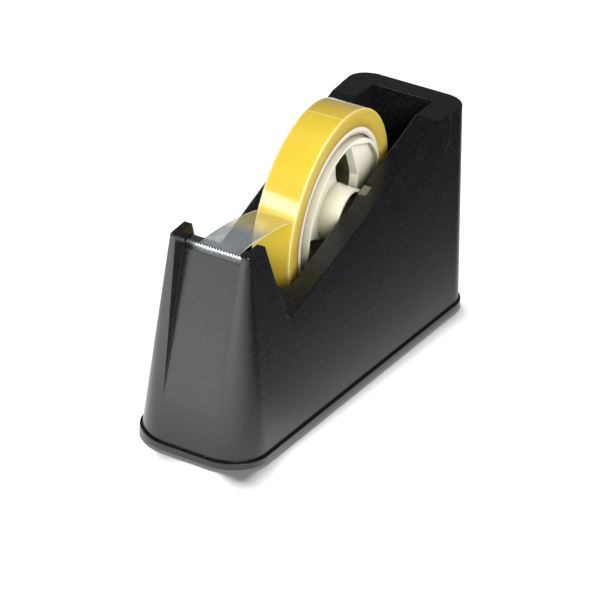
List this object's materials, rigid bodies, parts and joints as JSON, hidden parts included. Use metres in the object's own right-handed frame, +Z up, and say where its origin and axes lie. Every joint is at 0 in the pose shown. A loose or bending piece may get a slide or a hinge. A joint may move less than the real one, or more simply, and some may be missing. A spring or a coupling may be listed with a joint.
{
  "type": "tape dispenser",
  "caption": "Weighted desk tape dispenser with a wedge-shaped body, a toothed cutter between two front posts and a lift-out reel holding a roll of clear tape.",
  "frame": {"origin": "middle of the base outline, on the surface that the feet stand on", "axes": "+X to the right of someone who stands in front of the cutter and looks along +Y, +Y from the cutter to the tall back end, +Z up"},
  "size_m": [0.082, 0.218, 0.1265],
  "materials": {
    "shell_plastic": "charcoal moulded plastic with a fine grain, semi-gloss",
    "base_plastic": "charcoal moulded plastic",
    "ballast_iron": "rough cast, unpainted",
    "blade_steel": "ground steel with sharp teeth",
    "rest_plastic": "smooth dark plastic",
    "screw_steel": "zinc plated",
    "foot_rubber": "soft black rubber",
    "axle_steel": "turned steel",
    "axle_plastic": "dull dark olive moulded plastic",
    "clear_tape": "clear cellophane film",
    "reel_plastic": "cream moulded plastic, satin",
    "core_paper": "pale wound paper tube",
    "wound_tape": "amber cellophane tape, wound, glossy on the outside"
  },
  "bodies": {
    "base": {"body_shell": "shell_plastic", "base_plate": "base_plastic", "ballast_plate": "ballast_iron", "nose_ballast": "ballast_iron", "cutter_blade": "blade_steel", "tape_rest": "rest_plastic", "base_screws": "screw_steel", "ballast_screws": "screw_steel", "blade_screws": "screw_steel", "front_left_foot": "foot_rubber", "front_right_foot": "foot_rubber", "rear_left_foot": "foot_rubber", "rear_right_foot": "foot_rubber"},
    "carrier": {"reel_axle": "axle_steel", "right_axle_block": "axle_plastic", "left_axle_block": "axle_plastic", "tape_strip": "clear_tape"},
    "reel": {"reel_right_half": "reel_plastic", "reel_left_half": "reel_plastic", "tape_core": "core_paper", "tape_roll": "wound_tape"}
  },
  "joints": [
    {"name": "reel_lift", "type": "slide", "parent": "base", "child": "carrier", "axis": [0, 0.5299, 0.848], "range_m": [0, 0.04]},
    {"name": "reel_spin", "type": "hinge", "parent": "carrier", "child": "reel", "pos_m": [0, 0.008, 0.0767], "axis": [1, 0, 0], "continuous": true}
  ]
}
